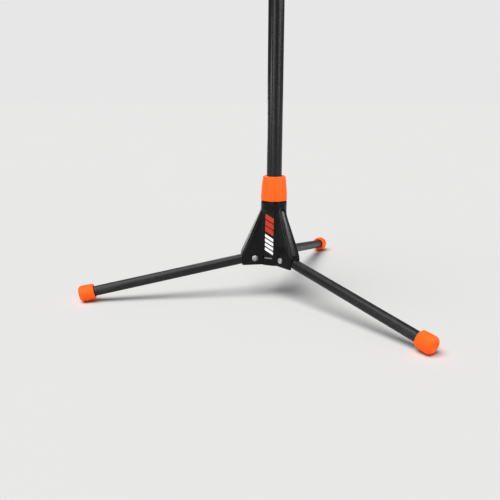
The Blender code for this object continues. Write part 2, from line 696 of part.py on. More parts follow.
def build_tee():
    materials = {
        "paint": make_material("black_paint", (0.022, 0.022, 0.024), 0.38, 0.0),
        "plastic": make_material("black_plastic", (0.028, 0.028, 0.030), 0.45, 0.0),
        "orange": make_material("orange_plastic", (1.0, 0.16, 0.022), 0.42, 0.0),
        "rubber": make_material("black_rubber", (0.030, 0.030, 0.031), 0.60, 0.0),
        "zinc": make_material("zinc_steel", (0.66, 0.65, 0.62), 0.32, 1.0),
    }
    pole = empty("pole_axis", None, (0.0, POLE_Y, 0.0))
    make_hub(materials["plastic"], pole)
    make_lower_pole(materials, pole)
    make_collet("pole_collet", materials["plastic"], pole, SOCKET_RADIUS, SPIGOT_RADIUS,
                SPIGOT_TOP + GAP, COLLAR_TOP - COLLAR_LIP - GAP)
    make_collar("pole_lock_collar", materials["orange"], pole, COLLAR_BOTTOM, COLLAR_HEIGHT,
                (COLLAR_BOTTOM_RADIUS, COLLAR_TOP_RADIUS),
                (SPIGOT_RADIUS + GAP, SOCKET_RADIUS), COLLAR_LIP)

    lock_bottom = POLE_TOP - HEIGHT_COLLAR_DROP
    lock_top = lock_bottom + HEIGHT_COLLAR_HEIGHT
    collet_inner = UPPER_RADIUS + GAP
    collet_outer = POLE_RADIUS + FERRULE_WALL
    make_collet("height_collet", materials["plastic"], pole, collet_inner, collet_outer,
                POLE_TOP + GAP, lock_top - COLLAR_LIP - GAP)
    ferrule_inner = POLE_RADIUS + GAP
    turned("height_ferrule",
           tube_profile(collet_outer, ferrule_inner, lock_bottom + 2 * MM, POLE_TOP - GAP),
           materials["plastic"], pole, steps=32)
    make_collar("height_lock_collar", materials["orange"], pole, lock_bottom,
                HEIGHT_COLLAR_HEIGHT, (HEIGHT_COLLAR_BOTTOM_RADIUS, HEIGHT_COLLAR_TOP_RADIUS),
                (collet_outer + GAP, collet_inner), COLLAR_LIP)

    upper = empty("height_slide", pole, (0.0, 0.0, 0.0))
    make_upper_pole(materials, upper)
    make_ball_cup(materials, upper)
    for number, azimuth in enumerate(LEG_AZIMUTHS, 1):
        make_leg(number, azimuth, materials, pole)


clear_scene()
TEE = make_collection("batting_tee")
CUTTERS = make_collection("cutters")
build_tee()
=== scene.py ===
"""Looks of the folding tripod batting tee: finer pieces, materials, floor, light and camera."""
import json
import math

import bmesh
import bpy
from mathutils import Matrix, Vector


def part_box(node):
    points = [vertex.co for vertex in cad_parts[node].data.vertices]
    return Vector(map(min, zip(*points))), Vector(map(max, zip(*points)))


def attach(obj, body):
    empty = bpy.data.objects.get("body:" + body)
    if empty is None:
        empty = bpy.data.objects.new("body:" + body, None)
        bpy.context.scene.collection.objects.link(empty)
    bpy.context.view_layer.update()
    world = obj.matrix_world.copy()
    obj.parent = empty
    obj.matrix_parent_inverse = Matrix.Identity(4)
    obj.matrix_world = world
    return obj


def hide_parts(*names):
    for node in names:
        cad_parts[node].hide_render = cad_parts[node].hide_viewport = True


MM = 0.001
GAP = 0.3 * MM

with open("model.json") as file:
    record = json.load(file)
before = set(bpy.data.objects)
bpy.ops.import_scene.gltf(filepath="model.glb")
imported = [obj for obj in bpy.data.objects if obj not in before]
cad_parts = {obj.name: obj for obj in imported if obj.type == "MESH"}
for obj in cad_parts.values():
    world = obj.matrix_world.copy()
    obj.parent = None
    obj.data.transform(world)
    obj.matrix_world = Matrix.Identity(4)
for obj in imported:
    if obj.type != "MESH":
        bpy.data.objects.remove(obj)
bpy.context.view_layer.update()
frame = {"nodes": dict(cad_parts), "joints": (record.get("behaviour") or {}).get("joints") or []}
NODES = frame["nodes"]

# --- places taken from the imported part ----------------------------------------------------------


def box_middle(node):
    low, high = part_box(node)
    return (low + high) / 2


LEG_SLOPE = math.radians(10.65)
LEG_NUMBERS = (1, 2, 3)
PIVOTS = {}
AZIMUTHS = {}
for joint in frame["joints"]:
    if joint["name"].startswith("leg_fold_"):
        number = int(joint["name"][-1])
        PIVOTS[number] = Vector(joint["pos_m"])
        AZIMUTHS[number] = math.atan2(-joint["axis"][0], joint["axis"][1])
POLE = box_middle("lower_pole") * Vector((1, 1, 0))
PIVOT_HEIGHT = PIVOTS[1].z
PIVOT_REACH = (PIVOTS[1] - POLE).xy.length


def pole_frame():
    return Matrix.Translation(POLE)


def arm_frame(number):
    """Pivot, level: X outwards along the arm, Y along the bolt."""
    return Matrix.Translation(PIVOTS[number]) @ Matrix.Rotation(AZIMUTHS[number], 4, "Z")


def leg_frame(number):
    """Pivot, X down the open leg, Y along the bolt."""
    return arm_frame(number) @ Matrix.Rotation(LEG_SLOPE, 4, "Y")


# --- materials ----------------------------------------------------------------------------------

class Look:
    """A node material on one Principled shader, with short calls for the usual layers."""

    def __init__(self, name, colour, roughness, specular, metallic=0.0):
        self.material = bpy.data.materials.new(name)
        self.material.use_nodes = True
        self.tree = self.material.node_tree
        self.shader = self.tree.nodes["Principled BSDF"]
        self.shader.inputs["Metallic"].default_value = metallic
        self.shader.inputs["Specular IOR Level"].default_value = specular
        self.colour = self.rgb(colour)
        self.roughness = self.value(roughness)
        self.bumps = None
        self.where = self.add("ShaderNodeTexCoord").outputs["Object"]

    def add(self, kind, **settings):
        node = self.tree.nodes.new(kind)
        for key, value in settings.items():
            setattr(node, key, value)
        return node

    def feed(self, socket, source):
        if isinstance(source, bpy.types.NodeSocket):
            self.tree.links.new(source, socket)
        else:
            socket.default_value = source

    def rgb(self, colour):
        node = self.add("ShaderNodeRGB")
        node.outputs[0].default_value = (*colour, 1.0)
        return node.outputs[0]

    def value(self, number):
        node = self.add("ShaderNodeValue")
        node.outputs[0].default_value = number
        return node.outputs[0]

    def stretched(self, scale, turn=(0.0, 0.0, 0.0)):
        """Texture places scaled along their axes, after a turn, to draw features out."""
        node = self.add("ShaderNodeMapping")
        self.feed(node.inputs["Vector"], self.where)
        node.inputs["Scale"].default_value = scale
        node.inputs["Rotation"].default_value = turn
        return node.outputs["Vector"]

    def noise(self, size, detail, where=None):
        """Noise with features of about a given size in metres, from 0 to 1."""
        node = self.add("ShaderNodeTexNoise")
        self.feed(node.inputs["Vector"], where or self.where)
        node.inputs["Scale"].default_value = 1.0 / size
        node.inputs["Detail"].default_value = detail
        node.inputs["Roughness"].default_value = 0.55
        return node.outputs["Fac"]

    def cells(self, size):
        """Distance to the nearest of scattered points, about a given size in metres apart."""
        node = self.add("ShaderNodeTexVoronoi", feature="F1")
        self.feed(node.inputs["Vector"], self.where)
        node.inputs["Scale"].default_value = 1.0 / size
        return node.outputs["Distance"]

    def fit(self, source, low, high, to_low=0.0, to_high=1.0):
        """Map a value's range to another range, clamped."""
        node = self.add("ShaderNodeMapRange")
        self.feed(node.inputs["Value"], source)
        for name, number in (("From Min", low), ("From Max", high), ("To Min", to_low),
                             ("To Max", to_high)):
            node.inputs[name].default_value = number
        return node.outputs["Result"]

    def maths(self, operation, first, second):
        node = self.add("ShaderNodeMath", operation=operation)
        self.feed(node.inputs[0], first)
        self.feed(node.inputs[1], second)
        return node.outputs[0]

    def mix_colour(self, share, colour):
        """Lay a colour over what is there, by a share from 0 to 1."""
        node = self.add("ShaderNodeMix", data_type="RGBA", blend_type="MIX")
        self.feed(node.inputs["Factor"], share)
        self.tree.links.new(self.colour, node.inputs[6])
        self.feed(node.inputs[7], self.rgb(colour))
        self.colour = node.outputs[2]

    def shift_roughness(self, share, amount):
        self.roughness = self.maths("ADD", self.roughness, self.maths("MULTIPLY", share, amount))

    def bump(self, height, depth, strength=1.0):
        """Add relief: a height from 0 to 1 times a depth in metres."""
        node = self.add("ShaderNodeBump")
        node.inputs["Strength"].default_value = strength
        node.inputs["Distance"].default_value = depth
        self.feed(node.inputs["Height"], height)
        if self.bumps is not None:
            self.tree.links.new(self.bumps, node.inputs["Normal"])
        self.bumps = node.outputs["Normal"]

    def height_above(self, low, high):
        """From 0 at one height in the object's own frame to 1 at another."""
        node = self.add("ShaderNodeSeparateXYZ")
        self.feed(node.inputs[0], self.where)
        return self.fit(node.outputs["Z"], low, high)

    def edges(self, radius):
        """1 on edges and 0 on flats, from how far a rounded normal turns off the face's own."""
        bevel = self.add("ShaderNodeBevel", samples=6)
        bevel.inputs["Radius"].default_value = radius
        geometry = self.add("ShaderNodeNewGeometry")
        dot = self.add("ShaderNodeVectorMath", operation="DOT_PRODUCT")
        self.tree.links.new(bevel.outputs[0], dot.inputs[0])
        self.tree.links.new(geometry.outputs["Normal"], dot.inputs[1])
        return self.fit(dot.outputs["Value"], 0.99, 0.8)

    def done(self, **sockets):
        self.feed(self.shader.inputs["Base Color"], self.colour)
        self.feed(self.shader.inputs["Roughness"], self.roughness)
        if self.bumps is not None:
            self.feed(self.shader.inputs["Normal"], self.bumps)
        for name, number in sockets.items():
            self.shader.inputs[name.replace("_", " ")].default_value = number
        return self.material


def painted_tube(name, along, roughness, floor_dust):
    """Black powder coat. along turns the texture so that its Z runs along the tube."""
    look = Look(name, (0.0050, 0.0053, 0.0057), roughness, specular=0.28)
    cloud = look.noise(35 * MM, 3)
    look.mix_colour(look.fit(cloud, 0.45, 0.75, 0.0, 0.5), (0.010, 0.0103, 0.0108))
    look.shift_roughness(look.noise(9 * MM, 2), 0.08)
    lines = look.stretched((1.0, 1.0, 0.02), along)
    streaks = look.noise(0.9 * MM, 2, lines)
    patches = look.fit(look.noise(28 * MM, 2), 0.5, 0.68)
    scuffs = look.maths("MULTIPLY", look.fit(streaks, 0.6, 0.72), patches)
    look.mix_colour(look.maths("MULTIPLY", scuffs, 0.45), (0.062, 0.063, 0.065))
    look.shift_roughness(scuffs, 0.14)
    specks = look.fit(look.cells(3.2 * MM), 0.16, 0.06)
    specks = look.maths("MULTIPLY", specks, look.fit(look.noise(16 * MM, 2), 0.58, 0.66))
    look.mix_colour(look.maths("MULTIPLY", specks, 0.35), (0.12, 0.115, 0.1))
    if floor_dust:
        low = look.height_above(60 * MM, 8 * MM)
        dust = look.maths("MULTIPLY", low, look.fit(look.noise(12 * MM, 4), 0.4, 0.75))
        look.mix_colour(look.maths("MULTIPLY", dust, 0.22), (0.11, 0.105, 0.09))
        look.shift_roughness(dust, 0.2)
    look.bump(look.noise(1.3 * MM, 2), 0.022 * MM, 0.5)
    look.bump(look.noise(0.45 * MM, 1), 0.008 * MM, 0.5)
    return look.done()


def hub_plastic():
    """Black glass-filled nylon with a fine spark texture, lighter where its edges rub."""
    look = Look("hub_plastic", (0.0030, 0.0037, 0.0032), 0.20, specular=0.14)
    flow = look.noise(22 * MM, 4, look.stretched((1.0, 1.0, 0.35)))
    look.mix_colour(look.fit(flow, 0.45, 0.8, 0.0, 0.55), (0.0075, 0.0082, 0.0078))
    look.shift_roughness(flow, 0.06)
    edges = look.edges(1.6 * MM)
    rubbed = look.maths("MULTIPLY", edges, look.fit(look.noise(5 * MM, 4), 0.35, 0.7, 0.25, 1.0))
    look.mix_colour(look.maths("MULTIPLY", rubbed, 0.5), (0.05, 0.052, 0.05))
    look.shift_roughness(rubbed, -0.07)
    fine = look.noise(60 * MM, 2, look.stretched((1.0, 1.0, 14.0)))
    scratch = look.fit(fine, 0.66, 0.7)
    scratch = look.maths("MULTIPLY", scratch, look.fit(look.noise(18 * MM, 2), 0.55, 0.7))
    look.mix_colour(look.maths("MULTIPLY", scratch, 0.25), (0.06, 0.06, 0.06))
    look.bump(look.cells(0.55 * MM), 0.02 * MM, 0.35)
    look.bump(look.noise(0.3 * MM, 2), 0.012 * MM, 0.4)
    return look.done()


def dark_plastic():
    """Black nylon of the plugs, bushes and collets."""
    look = Look("dark_plastic", (0.016, 0.016, 0.017), 0.5, specular=0.42)
    look.mix_colour(look.fit(look.noise(8 * MM, 3), 0.4, 0.75, 0.0, 0.5), (0.028, 0.028, 0.029))
    look.shift_roughness(look.noise(4 * MM, 2), 0.1)
    look.bump(look.noise(0.35 * MM, 2), 0.015 * MM, 0.5)
    return look.done()


def orange_plastic():
    """Moulded orange collar, satin, with a fine grain and slightly paler rubbed edges."""
    look = Look("orange_plastic", (0.93, 0.112, 0.007), 0.40, specular=0.14)
    cloud = look.noise(14 * MM, 3)
    look.mix_colour(look.fit(cloud, 0.4, 0.75, 0.0, 0.45), (0.87, 0.096, 0.006))
    look.shift_roughness(cloud, 0.08)
    rubbed = look.maths("MULTIPLY", look.edges(1.4 * MM),
                        look.fit(look.noise(4 * MM, 3), 0.35, 0.7, 0.2, 1.0))
    look.mix_colour(look.maths("MULTIPLY", rubbed, 0.3), (1.0, 0.24, 0.07))
    smear = look.fit(look.noise(7 * MM, 4, look.stretched((1.0, 1.0, 3.0))), 0.6, 0.75)
    look.mix_colour(look.maths("MULTIPLY", smear, 0.08), (0.45, 0.09, 0.03))
    look.bump(look.noise(0.5 * MM, 2), 0.02 * MM, 0.5)
    look.bump(look.cells(0.8 * MM), 0.012 * MM, 0.4)
    return look.done(Subsurface_Weight=0.06, Subsurface_Scale=0.004)


def orange_rubber():
    """Soft orange vinyl of the foot caps, scuffed and dusty where it stands."""
    look = Look("orange_rubber", (0.93, 0.102, 0.005), 0.46, specular=0.14)
    cloud = look.noise(9 * MM, 3)
    look.mix_colour(look.fit(cloud, 0.4, 0.75, 0.0, 0.5), (0.85, 0.086, 0.005))
    look.shift_roughness(cloud, 0.1)
    rubbed = look.maths("MULTIPLY", look.edges(1.8 * MM),
                        look.fit(look.noise(3.5 * MM, 3), 0.35, 0.7, 0.2, 1.0))
    look.mix_colour(look.maths("MULTIPLY", rubbed, 0.25), (1.0, 0.23, 0.06))
    grains = look.fit(look.cells(1.7 * MM), 0.2, 0.1)
    grains = look.maths("MULTIPLY", grains, look.fit(look.noise(10 * MM, 2), 0.5, 0.65))
    look.mix_colour(look.maths("MULTIPLY", grains, 0.22), (0.30, 0.10, 0.035))
    look.bump(look.noise(0.7 * MM, 3), 0.035 * MM, 0.6)
    look.bump(look.noise(5 * MM, 2), 0.08 * MM, 0.4)
    return look.done(Subsurface_Weight=0.08, Subsurface_Scale=0.004)


def black_rubber():
    """Black rubber of the ball cup, dull, with a dry bloom where balls scrape it."""
    look = Look("black_rubber", (0.018, 0.0178, 0.0175), 0.66, specular=0.35)
    bloom = look.fit(look.noise(13 * MM, 4), 0.42, 0.72)
    look.mix_colour(look.maths("MULTIPLY", bloom, 0.5), (0.042, 0.041, 0.039))
    look.shift_roughness(bloom, 0.12)
    rubbed = look.maths("MULTIPLY", look.edges(1.6 * MM),
                        look.fit(look.noise(4 * MM, 3), 0.35, 0.7, 0.2, 1.0))
    look.mix_colour(look.maths("MULTIPLY", rubbed, 0.4), (0.085, 0.08, 0.072))
    look.bump(look.noise(0.6 * MM, 3), 0.04 * MM, 0.6)
    look.bump(look.cells(1.1 * MM), 0.02 * MM, 0.4)
    return look.done(Sheen_Weight=0.08, Sheen_Roughness=0.5)


def zinc():
    """Bright zinc plate with a faint passivation tint and fine tool marks."""
    look = Look("zinc", (0.62, 0.63, 0.65), 0.27, specular=0.5, metallic=1.0)
    spangle = look.noise(3 * MM, 3)
    look.mix_colour(look.fit(spangle, 0.4, 0.75, 0.0, 0.6), (0.66, 0.63, 0.55))
    look.shift_roughness(look.noise(1.6 * MM, 3), 0.22)
    dull = look.fit(look.noise(2.2 * MM, 4), 0.55, 0.75)
    look.mix_colour(look.maths("MULTIPLY", dull, 0.35), (0.36, 0.36, 0.36))
    look.bump(look.noise(0.4 * MM, 2), 0.015 * MM, 0.6)
    return look.done()


def print_ink(name, colour, roughness=0.3):
    """Ink on the label, very slightly mottled, under a thin gloss."""
    look = Look(name, colour, roughness, specular=0.2)
    darker = tuple(0.8 * part for part in colour)
    look.mix_colour(look.fit(look.noise(1.2 * MM, 3), 0.45, 0.7, 0.0, 0.5), darker)
    look.shift_roughness(look.noise(3 * MM, 2), 0.1)
    look.bump(look.noise(0.6 * MM, 2), 0.008 * MM, 0.5)
    return look.done()


def floor_paper():
    look = Look("floor_paper", (0.80, 0.80, 0.795), 0.9, specular=0.0)
    look.mix_colour(look.fit(look.noise(0.6, 3), 0.4, 0.7, 0.0, 0.25), (0.78, 0.78, 0.775))
    look.bump(look.noise(2.5 * MM, 3), 0.06 * MM, 0.3)
    return look.done()


# --- mesh helpers -------------------------------------------------------------------------------

def new_piece(name, mesh, material, place=None):
    piece = bpy.data.objects.new(name, mesh)
    bpy.context.scene.collection.objects.link(piece)
    if place is not None:
        piece.matrix_world = place
    if material is not None:
        mesh.materials.append(material)
    return piece


def soften(piece, angle=32.0):
    piece.data.shade_smooth()
    piece.data.set_sharp_from_angle(angle=math.radians(angle))


def round_corners(points, radii, steps=4, closed=True):
    """Replace the corners of a profile by arcs. radii gives each corner's radius, 0 for none."""
    result = []
    count = len(points)
    for index, point in enumerate(points):
        radius = radii[index]
        ends = not closed and index in (0, count - 1)
        if radius == 0 or ends:
            result.append(tuple(point))
            continue
        here = Vector(point)
        before = Vector(points[index - 1]) - here
        after = Vector(points[(index + 1) % count]) - here
        half = before.angle(after) / 2
        nearly_straight = 0.02
        if math.pi / 2 - half < nearly_straight:
            result.append(tuple(point))
            continue
        reach = min(radius / math.tan(half), 0.49 * before.length, 0.49 * after.length)
        radius = reach * math.tan(half)
        middle = here + (before.normalized() + after.normalized()).normalized() * (
            radius / math.sin(half))
        start = here + before.normalized() * reach - middle
        sweep = start.angle_signed(here + after.normalized() * reach - middle)
        for step in range(steps + 1):
            turn = Matrix.Rotation(-sweep * step / steps, 2)
            result.append(tuple(middle + turn @ start))
    return result


def lathe(name, profile, material, place, steps=96, closed=True):
    """Turn a profile of (radius, height) points, listed down the outer side, about local Z."""
    mesh = bpy.data.meshes.new(name)
    shape = bmesh.new()
    columns = []
    for step in range(steps):
        turn = 2 * math.pi * step / steps
        columns.append([(r * math.cos(turn), r * math.sin(turn), z) for r, z in profile])
    grid = []
    for index, (radius, height) in enumerate(profile):
        if radius < 1e-7:
            grid.append([shape.verts.new((0, 0, height))] * steps)
        else:
            grid.append([shape.verts.new(column[index]) for column in columns])
    pairs = list(zip(range(len(profile)), range(1, len(profile))))
    if closed:
        pairs.append((len(profile) - 1, 0))
    for a, b in pairs:
        for step in range(steps):
            after = (step + 1) % steps
            corners = [grid[a][step], grid[b][step], grid[b][after], grid[a][after]]
            unique = list(dict.fromkeys(corners))
            if len(unique) > 2:
                shape.faces.new(unique)
    bmesh.ops.recalc_face_normals(shape, faces=shape.faces)
    shape.to_mesh(mesh)
    shape.free()
    piece = new_piece(name, mesh, material, place)
    soften(piece)
    return piece


def rod(name, radius, length, place, steps=48):
    """A plain cylinder about local Z, to cut with or to join."""
    mesh = bpy.data.meshes.new(name)
    shape = bmesh.new()
    bmesh.ops.create_cone(shape, cap_ends=True, segments=steps, radius1=radius, radius2=radius,
                          depth=length)
    shape.to_mesh(mesh)
    shape.free()
    return new_piece(name, mesh, None, place)


def slab(name, outline, half_width, place):
    """An outline of (x, z) points, as thick as asked along local Y."""
    mesh = bpy.data.meshes.new(name)
    shape = bmesh.new()
    near = [shape.verts.new((x, -half_width, z)) for x, z in outline]
    far = [shape.verts.new((x, half_width, z)) for x, z in outline]
    shape.faces.new(near)
    shape.faces.new(list(reversed(far)))
    for i in range(len(near)):
        j = (i + 1) % len(near)
        shape.faces.new((near[j], near[i], far[i], far[j]))
    bmesh.ops.recalc_face_normals(shape, faces=shape.faces)
    shape.to_mesh(mesh)
    shape.free()
    return new_piece(name, mesh, None, place)


def combine(piece, tool, operation="DIFFERENCE"):
    """Cut a piece with a tool, or join the tool to it, and drop the tool."""
    modifier = piece.modifiers.new("combine", "BOOLEAN")
    modifier.operation = operation
    modifier.solver = "EXACT"
    modifier.object = tool
    apply_modifiers(piece)
    mesh = tool.data
    bpy.data.objects.remove(tool)
    bpy.data.meshes.remove(mesh)


def apply_modifiers(piece):
    """Turn what the modifiers show into the piece's own mesh."""
    bpy.context.view_layer.update()
    graph = bpy.context.evaluated_depsgraph_get()
    mesh = bpy.data.meshes.new_from_object(piece.evaluated_get(graph))
    old = piece.data
    piece.modifiers.clear()
    piece.data = mesh
    mesh.name = piece.name
    bpy.data.meshes.remove(old)


def bevel(piece, width, angle):
    """Round the edges sharper than an angle in degrees."""
    modifier = piece.modifiers.new("bevel", "BEVEL")
    modifier.width = width
    modifier.segments = 2
    modifier.limit_method = "ANGLE"
    modifier.angle_limit = math.radians(angle)
    modifier.use_clamp_overlap = True
    apply_modifiers(piece)


def stand_in(piece, node, body):
    """The piece rides on a body and stands for a CAD node, which it hides."""
    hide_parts(node)
    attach(piece, body)


# --- hub ----------------------------------------------------------------------------------------

HUB_LOW, HUB_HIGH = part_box("hub_shell")
HUB_BOTTOM = HUB_LOW.z
SPIGOT_TOP = HUB_HIGH.z
HUB_ARM_REACH = 64.0 * MM
HUB_ARM_HALF_WIDTH = 13.4 * MM
HUB_ARM_TOP_HALF_WIDTH = 8.5 * MM
HUB_TAPER = PIVOT_HEIGHT + 28.0 * MM
HUB_CREST = PIVOT_HEIGHT + 7.8 * MM
HUB_CREST_BEND = 5.0 * MM
HUB_RIDGE_TOP = PIVOT_HEIGHT + 93.8 * MM
HUB_NECK_TOP = SPIGOT_TOP - 22.0 * MM
HUB_NECK_RADIUS = 24.7 * MM
HUB_COLUMN_RADIUS = 27.8 * MM
HUB_PAD_CUT = 1.6 * MM
HUB_PAD_FADE = 14.0 * MM
HUB_WALL = 4.2 * MM
HUB_FLOOR = 4.0 * MM
HUB_EDGE_FILLET = 4.0 * MM
HUB_VALLEY_FILLET = 4.0 * MM
HUB_SLOT_HALF_WIDTH = 9.85 * MM
HUB_CORE_HALF_WIDTH = 6.0 * MM
HUB_BOSS_RADIUS = 7.4 * MM
HUB_BOSS_FACE = 13.9 * MM
POLE_RADIUS = 14.3 * MM
SOCKET_RADIUS = POLE_RADIUS + GAP
SPIGOT_RADIUS = SOCKET_RADIUS + 3.6 * MM
LEG_RADIUS = 9.525 * MM
LEG_STUB = 17.5 * MM
BOLT_RADIUS = 3.0 * MM
HUB_POCKET_RADIUS = 2.6 * MM        # moulding core under each pad
HUB_POCKET_REACH = 19.6 * MM        # its axis from the pole's
HUB_POCKET_TOP = 69.0 * MM          # its end above the hub's underside


def blend(low, high, height, start):
    """From one size at a starting height to another at the top of the ridges."""
    share = (height - start) / (HUB_RIDGE_TOP - start)
    return low + (high - low) * min(1.0, max(0.0, share))


def arc(middle, radius, start, end, steps):
    return [(middle[0] + radius * math.cos(start + (end - start) * i / steps),
             middle[1] + radius * math.sin(start + (end - start) * i / steps))
            for i in range(steps + 1)]


def hub_outline(height, reach, inset):
    """Plan of the hub: three arms with rounded edges, valley fillets and pads between them."""
    reach = reach - inset
    half_width = blend(HUB_ARM_HALF_WIDTH, HUB_ARM_TOP_HALF_WIDTH, height, HUB_TAPER) - inset
    column = blend(HUB_COLUMN_RADIUS, HUB_NECK_RADIUS, height, HUB_BOTTOM) - inset
    edge = min(HUB_EDGE_FILLET, (reach - column) / 2)
    edge_x = math.sqrt((reach - edge) ** 2 - (half_width - edge) ** 2)
    widest = (edge_x ** 2 - column ** 2 + half_width ** 2) / (2 * (column - half_width))
    valley = min(HUB_VALLEY_FILLET, widest)
    valley_x = math.sqrt((column + valley) ** 2 - (half_width + valley) ** 2)
    edge_turn = math.atan2(half_width - edge, edge_x)
    valley_turn = math.atan2(half_width + valley, valley_x)
    pad_cut = HUB_PAD_CUT * min(1.0, (HUB_NECK_TOP + MM - height) / HUB_PAD_FADE)
    pad_turn = math.pi / 3 - math.acos(1 - pad_cut / column)
    half = arc((0.0, 0.0), reach, 0.0, edge_turn, 4)[:-1]
    half += arc((edge_x, half_width - edge), edge, edge_turn, math.pi / 2, 8)
    half += arc((valley_x, half_width + valley), valley, -math.pi / 2, valley_turn - math.pi, 6)
    half += arc((0.0, 0.0), column, valley_turn, pad_turn, 6)[1:]
    arm = [(x, -y) for x, y in reversed(half[1:])] + half
    points = []
    for azimuth in sorted(AZIMUTHS.values()):
        for x, y in arm:
            points.append((x * math.cos(azimuth) - y * math.sin(azimuth),
                           x * math.sin(azimuth) + y * math.cos(azimuth)))
    return points


def hub_levels():
    """Heights of the hub's plans, each with the arms' reach and an inset for softened edges."""
    faint = 0.05 * MM
    run = HUB_ARM_REACH - HUB_NECK_RADIUS - faint
    slope = math.atan2(run, HUB_RIDGE_TOP - HUB_CREST)
    bend_radius = HUB_CREST_BEND / math.tan(slope / 2)
    edge = 1.2 * MM
    levels = []
    for step in range(5):
        turn = math.radians(22.5 * step)
        levels.append((HUB_BOTTOM + edge * (1 - math.cos(turn)), HUB_ARM_REACH,
                       edge * (1 - math.sin(turn))))
    bend_steps = 8
    for step in range(bend_steps + 1):
        turn = slope * step / bend_steps
        levels.append((HUB_CREST - HUB_CREST_BEND + bend_radius * math.sin(turn),
                       HUB_ARM_REACH - bend_radius * (1 - math.cos(turn)), 0.0))
    first, reach = levels[-1][:2]
    ridge_steps = 22
    for step in range(1, ridge_steps + 1):
        share = step / ridge_steps
        levels.append((first + (HUB_RIDGE_TOP - first) * share,
                       reach + (HUB_NECK_RADIUS + faint - reach) * share, 0.0))
    neck = HUB_NECK_RADIUS + faint
    levels.append(((HUB_RIDGE_TOP + HUB_NECK_TOP) / 2, neck, 0.0))
    for step in range(5):
        turn = math.radians(22.5 * step)
        levels.append((HUB_NECK_TOP - edge * (1 - math.sin(turn)), neck,
                       edge * (1 - math.cos(turn))))
    return levels


def hub_skin(material):
    """The hub's outer shape, lofted through its plans."""
    mesh = bpy.data.meshes.new("hub")
    shape = bmesh.new()
    rings = []
    for height, reach, inset in hub_levels():
        plan = hub_outline(height, reach, inset)
        rings.append([shape.verts.new((x, y, height)) for x, y in plan])
    for low, high in zip(rings, rings[1:]):
        for i in range(len(low)):
            j = (i + 1) % len(low)
            shape.faces.new((low[i], low[j], high[j], high[i]))
    shape.faces.new(list(reversed(rings[0])))
    shape.faces.new(rings[-1])
    bmesh.ops.remove_doubles(shape, verts=shape.verts, dist=0.05 * MM)
    shape.to_mesh(mesh)
    shape.free()
    return new_piece("hub", mesh, material, pole_frame())


def arm_hollows():
    """Side views of the wide hollow for the leg and of the narrow one above it."""
    def roof(reach):
        fall = (reach - PIVOT_REACH) * math.tan(LEG_SLOPE)
        return PIVOT_HEIGHT - fall + (LEG_RADIUS + GAP) / math.cos(LEG_SLOPE)

    ridge_slope = (HUB_ARM_REACH - HUB_NECK_RADIUS) / (HUB_RIDGE_TOP - HUB_CREST)
    wall = HUB_WALL / math.cos(math.atan(ridge_slope))

    def under_ridge(reach):
        return HUB_RIDGE_TOP - (reach + wall - HUB_NECK_RADIUS) / ridge_slope

    inner = SPIGOT_RADIUS
    outer = HUB_ARM_REACH + 2 * MM
    bottom = HUB_BOTTOM - MM
    fold_stop = PIVOT_REACH + LEG_RADIUS + GAP
    sweep_top = PIVOT_HEIGHT + math.hypot(LEG_STUB, LEG_RADIUS) + 1.5 * MM
    core_inner = inner + 1.0 * MM
    core_outer = fold_stop - 1.0 * MM
    core_top = core_inner + 4.0 * MM
    wide = [(inner, bottom), (outer, bottom), (outer, roof(outer)),
            (fold_stop, roof(fold_stop)), (fold_stop, sweep_top), (inner, sweep_top)]
    narrow = [(core_inner, sweep_top - MM), (core_outer, sweep_top - MM),
              (core_outer, under_ridge(core_outer)), (core_top, under_ridge(core_top)),
              (core_inner, under_ridge(core_top))]
    return ((wide, HUB_SLOT_HALF_WIDTH), (narrow, HUB_CORE_HALF_WIDTH))


def make_hub(material):
    hub = hub_skin(material)
    across = Matrix.Rotation(math.pi / 2, 4, "X")
    for number in LEG_NUMBERS:
        boss = rod("boss", HUB_BOSS_RADIUS, 2 * HUB_BOSS_FACE, arm_frame(number) @ across, 64)
        combine(hub, boss, "UNION")
    root = 10 * MM
    length = SPIGOT_TOP - HUB_NECK_TOP + root
    spigot = rod("spigot", SPIGOT_RADIUS, length,
                 Matrix.Translation(POLE + Vector((0, 0, SPIGOT_TOP - length / 2))), 96)
    combine(hub, spigot, "UNION")
    floor = HUB_BOTTOM + HUB_FLOOR
    depth = SPIGOT_TOP + MM - floor
    socket = rod("socket", SOCKET_RADIUS, depth,
                 Matrix.Translation(POLE + Vector((0, 0, floor + depth / 2))), 96)
    combine(hub, socket)
    for number in LEG_NUMBERS:
        turned = pole_frame() @ Matrix.Rotation(AZIMUTHS[number], 4, "Z")
        for outline, half_width in arm_hollows():
            combine(hub, slab("hollow", outline, half_width, turned))
        combine(hub, rod("bolt_hole", BOLT_RADIUS + GAP, 4 * HUB_BOSS_FACE,
                         arm_frame(number) @ across))
        between = pole_frame() @ Matrix.Rotation(AZIMUTHS[number] + math.pi / 3, 4, "Z")
        depth = HUB_POCKET_TOP + MM
        middle = Matrix.Translation((HUB_POCKET_REACH, 0, HUB_BOTTOM - MM + depth / 2))
        combine(hub, rod("pocket", HUB_POCKET_RADIUS, depth, between @ middle, 32))
    bevel(hub, 0.35 * MM, 50.0)
    soften(hub)
    stand_in(hub, "hub_shell", "base")


# --- label on the front pad ----------------------------------------------------------------------

def clipped(polygon, normal, limit):
    """The part of a polygon where point . normal stays below a limit."""
    result = []
    for index, point in enumerate(polygon):
        before = polygon[index - 1]
        a = before.dot(normal) - limit
        b = point.dot(normal) - limit
        if a * b < 0:
            result.append(before.lerp(point, a / (a - b)))
        if b <= 0:
            result.append(point)
    return result


def rounded_rectangle(low, high, radius, steps=4):
    points = [Vector(low), Vector((high[0], low[1])), Vector(high), Vector((low[0], high[1]))]
    return [Vector(p) for p in round_corners(points, [radius] * 4, steps)]


